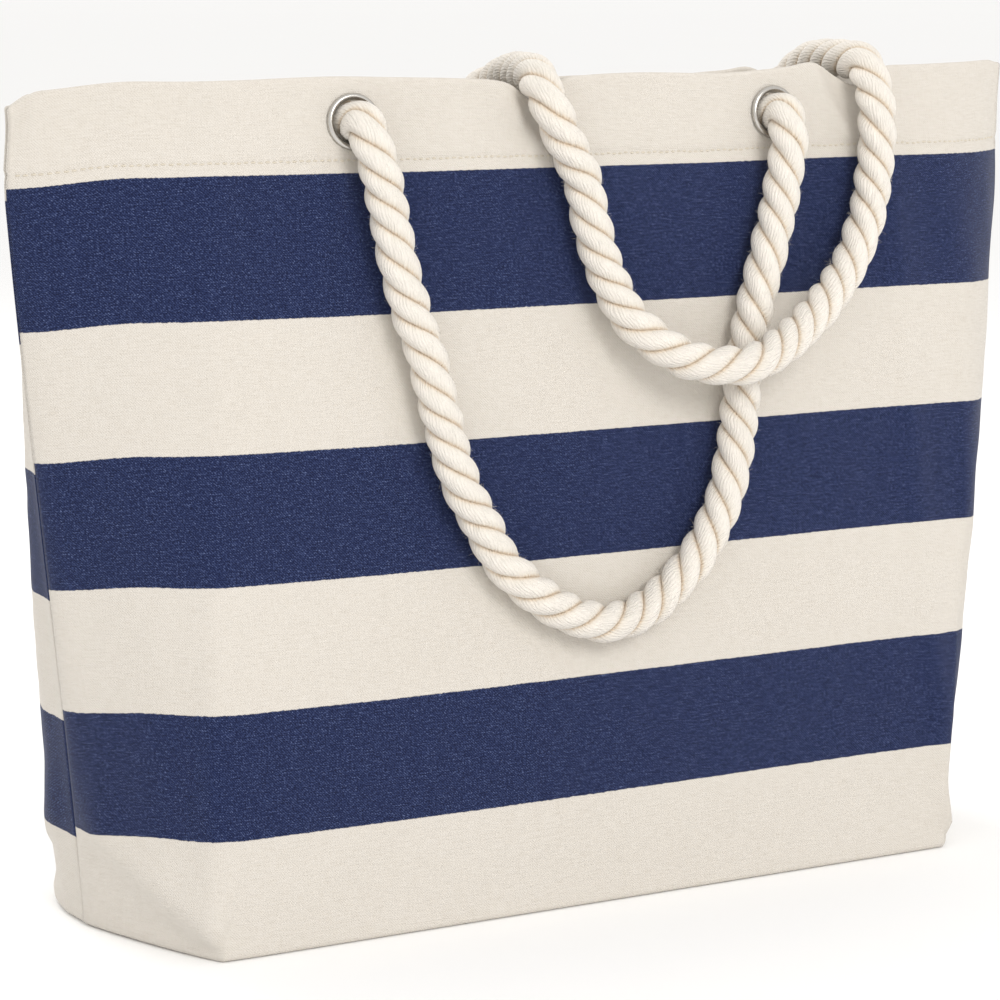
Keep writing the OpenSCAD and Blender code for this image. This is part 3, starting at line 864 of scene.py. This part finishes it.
def stray_fibres(name, path, along, frames, material, per_mm=9, seed=3):
    """Fine cotton ends that stand off the rope, as thin tapered hairs."""
    rng = np.random.default_rng(seed)
    count = int(along[-1] * per_mm) - int(along[0] * per_mm)
    tangent, across, out = frames
    points, faces = [], []
    stations, sides = 4, 3
    share = np.linspace(0, 1, stations)
    angle = np.linspace(0, 2 * math.pi, sides, endpoint=False)
    quads = grid_faces(stations, sides, closed=True)
    for _ in range(count):
        i = rng.integers(2, len(path) - 2)
        turn = rng.uniform(0, 2 * math.pi)
        outward = math.cos(turn) * across[i] + math.sin(turn) * out[i]
        sideways = np.cross(tangent[i], outward)
        lean = tangent[i] * rng.normal(0, 0.9) + sideways * rng.normal(0, 0.9)
        length = rng.uniform(0.7, 2.3)
        start = path[i] + outward * (ROPE_D / 2 - rng.uniform(0.6, 1.6))
        way = outward * 0.8 + lean * 0.8
        way /= np.linalg.norm(way)
        curl = rng.normal(0, 0.5, 3)
        core = start + (way * share[:, None] + curl * (share[:, None] ** 2) * 0.5) * length
        one = np.cross(way, [0.2, 0.3, 0.9])
        one /= np.linalg.norm(one)
        two = np.cross(way, one)
        thick = 0.055 * (1 - 0.7 * share)
        around = np.cos(angle)[None, :, None] * one + np.sin(angle)[None, :, None] * two
        ring = around * thick[:, None, None]
        base = len(points) * stations * sides
        points.append((core[:, None] + ring).reshape(-1, 3))
        faces += [tuple(q + base) for q in quads]
        faces.append((base + 2, base + 1, base))
        last = base + (stations - 1) * sides
        faces.append((last, last + 1, last + 2))
    hairs = mesh_object(name, np.concatenate(points), faces, material)
    layer = hairs.data.attributes.new("crest", "FLOAT", "POINT")
    layer.data.foreach_set("value", np.ones(len(points) * stations * sides, np.float32))
    return hairs


# Rope routes, mm. The first two don't repeat part.scad's lists: a scratch script moved their points
# sideways by up to 3.6 mm, which report.md sets out
FRONT_ROUTE = [
    (-99.3, -45, 323), (-96.8, -46, 312), (-94.1, -47.5, 294), (-88.8, -50, 268),
    (-81.3, -53, 243), (-75.2, -56.5, 214), (-69, -59.5, 190), (-60.4, -61.5, 173),
    (-51.8, -63.5, 156), (-37, -65.5, 141), (-20, -67, 130), (-3, -68, 125),
    (13, -67.5, 127), (28, -66.5, 135), (42.5, -65, 147), (53.5, -63.5, 161),
    (62.3, -61.5, 178), (67.6, -59.5, 197), (72.4, -56.5, 220), (77.7, -53.5, 245),
    (86.1, -50.5, 270), (94.7, -47.5, 294), (100.3, -45, 313), (103.2, -44, 326)]
BACK_ROUTE = [
    (-17.8, -43, 347), (-10.3, -44, 331), (-2.8, -46, 314), (0.8, -48.5, 293),
    (6.6, -52.5, 272), (14.2, -56.5, 256), (25, -61.5, 245), (38, -67.5, 237),
    (53, -72, 234), (69, -73.5, 235), (84, -70.5, 241), (100, -65, 249),
    (115.9, -59, 260), (130, -53.5, 273), (140.7, -48.5, 288), (146.9, -45.5, 303),
    (150.7, -43.5, 322), (151.1, -43, 341)]
LEFT_BACK_LEG = [
    (-96, 43, 341.5), (-88, 44, 342), (-80, 44.5, 342.4), (-60, 45.5, 342.5),
    (-42, 46, 343), (-25, 46, 345), (-13, 45.5, 347.5), (-7, 43.5, 350.5)]
RIGHT_BACK_LEG = [
    (112, 43, 341.8), (122, 44.5, 342.6), (134, 45.5, 344), (146, 46, 346),
    (155, 44, 349)]
LEFT_CROSSING = [
    (-2.5, 38, 353), (-2.5, 30, 356), (-6, 12, 359), (-13, -16, 359.5), (-17.5, -32, 357.5)]
RIGHT_CROSSING = [
    (151.5, -33, 361), (152, -18, 363.5), (155, 10, 363.5), (157.5, 30, 359), (157.5, 39, 353)]


def through_eyelet(x_sign, side, turn):
    """Rope points from the knot inside to where the rope turns outside the eyelet."""
    centre, out = eyelet_frame(x_sign, side)
    return [centre - 15 * out, centre - 6 * out, centre + 1 * out, centre + 7.5 * out + np.array(turn, float)]


def squeeze(path, ends):
    """The rope is pressed thinner where it passes through an eyelet."""
    thin = np.ones(len(path))
    for x_sign, side in ends:
        centre, out = eyelet_frame(x_sign, side)
        offset = path - centre
        near = np.linalg.norm(offset, axis=1) < 30
        axial = offset @ out
        thin = np.where(near, np.minimum(thin, 1 - 0.06 * smoothstep((8 - axial) / 7)), thin)
    return thin


def rope_piece(name, whole, first, last, material, sides=60):
    """One stretch of a rope, between two of its rings, with its stray fibres."""
    path, along, frames, thin = whole
    window = slice(first, last + 1)
    part = path[window], along[window], tuple(f[window] for f in frames)
    rope = twisted_rope(name, *part, material, thin=thin[window], sides=sides)
    fuzz = stray_fibres(name + "_fibres", *part, material, seed=len(name) + first)
    return rope, fuzz


def make_front_handle(material):
    points = (through_eyelet(-1, -1, (1.5, 0, -1.5)) + FRONT_ROUTE
              + through_eyelet(1, -1, (0, 0, -1.5))[::-1])
    path, along = smooth_curve(points, 1.0)
    whole = path, along, travelling_frames(path), squeeze(path, ((-1, -1), (1, -1)))
    rope, fuzz = rope_piece("front_handle_cord", whole, 0, len(path) - 1, material)
    for thing in (rope, fuzz):
        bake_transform(thing)
    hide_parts("front_handle_rope", "front_left_rope_end", "front_right_rope_end")
    return rope, fuzz, path, along


def make_back_handle(material):
    points = (through_eyelet(-1, 1, (2.5, 0, 0)) + LEFT_BACK_LEG + LEFT_CROSSING + BACK_ROUTE
              + RIGHT_CROSSING + RIGHT_BACK_LEG[::-1] + through_eyelet(1, 1, (2.5, 0, 0))[::-1])
    path, along = smooth_curve(points, 1.0)
    whole = path, along, travelling_frames(path), squeeze(path, ((-1, 1), (1, 1)))
    half = len(path) // 2
    cuts = [0, nearest(path[:half], (-54, 46, 343)), nearest(path[:half], (-12, 3, 363)),
            half + nearest(path[half:], (153, 0, 367)), half + nearest(path[half:], (136, 45.5, 344)),
            len(path) - 1]
    names = ("left_leg_cord", "left_bend_cord", "back_handle_cord", "right_bend_cord", "right_leg_cord")
    nodes = (("back_left_rope_end",), ("back_left_leg", "left_mouth_crossing"), ("back_handle_rope",),
             ("back_right_leg", "right_mouth_crossing"), ("back_right_rope_end",))
    pieces = {}
    for k, name in enumerate(names):
        rope, fuzz = rope_piece(name, whole, cuts[k], cuts[k + 1], material)
        for thing in (rope, fuzz):
            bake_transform(thing)
        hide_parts(*nodes[k])
        pieces[name] = rope, fuzz, path[cuts[k]:cuts[k + 1] + 1]
    return pieces


def nearest(path, place):
    return int(np.argmin(np.linalg.norm(path - np.array(place), axis=1)))


def make_knot(x_sign, side, material):
    """A flat overhand stopper knot behind an eyelet, and its cut tail."""
    word = ("front" if side < 0 else "back") + ("_left" if x_sign < 0 else "_right")
    centre, out = eyelet_frame(x_sign, side)
    middle = centre - (4.5 + 0.5 + 12.0) * out
    side_way = np.cross(out, [0, 0, 1])
    side_way /= np.linalg.norm(side_way)
    up = np.cross(side_way, out)
    turn = np.linspace(0, 2 * math.pi, 181)
    x = np.sin(turn) + 2 * np.sin(2 * turn)
    y = np.cos(turn) - 2 * np.cos(2 * turn)
    z = -np.sin(3 * turn)
    line = middle + 4.3 * x[:, None] * side_way + 4.3 * y[:, None] * up + 5.8 * z[:, None] * out
    path = even_steps(line, 0.9)
    along = np.arange(len(path)) * 0.9
    knot = twisted_rope(word + "_overhand_knot", path, along, travelling_frames(path), material,
                        radius=6.0, lay=30, sides=42)
    top = middle + np.array([0, 0, -8.0])
    tail_line = np.array([top, top + [0.5, 0, -10], top + [0.3, 0, -22]])
    path, along = smooth_curve(tail_line, 1.0, 1.0)
    thin = 1 - 0.12 * smoothstep((along - along[-1] + 1.5) / 1.5)
    tail = twisted_rope(word + "_rope_tail", path, along, travelling_frames(path), material,
                        radius=8.2, thin=thin)
    for thing in (knot, tail):
        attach(thing, "bag")
    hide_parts(word + "_knot")
    return [knot, tail]


# ---------------------------------------------------------------- build
make_camera()
rope_look = rope_material()
front_rope, front_fuzz, front_path, front_along = make_front_handle(rope_look)
back_pieces = make_back_handle(rope_look)
knots = {(x, y): make_knot(x, y, rope_look) for y in (-1, 1) for x in (-1, 1)}

make_stage()
striped = canvas_material("striped_canvas", True)
plain = canvas_material("plain_canvas", False)
thread = thread_material()
nickel = nickel_material()
for side in (-1, 1):
    word = "front" if side < 0 else "back"
    sheet = panel(side, striped, plain)
    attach(sheet, "bag")
    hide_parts(f"{word}_panel", f"{word}_hem")
    seams = [hem_stitches(side, inner, thread) for inner in (0, 1)]
    for row in seams:
        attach(row, "bag")
    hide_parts(f"{word}_hem_thread")
    for x_sign in (-1, 1):
        make_eyelet(x_sign, side, nickel)

levels = np.linspace(0.03, 0.9, 90)
for x_sign, word in ((-1, "left"), (1, "right")):
    line = smooth_wall(x_sign + 0 * levels, levels, -1) - np.array([x_sign * 3.0, 0, 0])
    strip = seam_strip(word + "_seam_allowance", line, (-x_sign * 10, 0, 0), plain)
    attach(strip, "bag")
    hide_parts(word + "_side_seam")
    row = np.linspace(-43, 43, 40)
    line = np.stack([0 * row + x_sign * 183, row, 0 * row + 2.6], 1)
    strip = seam_strip(word + "_corner_allowance", line, (x_sign * 10, 0, 0.6), plain, wave=0.25)
    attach(strip, "bag")
    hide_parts(word + "_corner_seam")
row = np.linspace(-176, 176, 120)
strip = seam_strip("base_seam_allowance", np.stack([row, 0 * row - 9.5, 0 * row + 2.2], 1), (0, 19, 0), plain,
                   thickness=1.4, wave=0.2)
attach(strip, "bag")
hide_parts("base_seam")
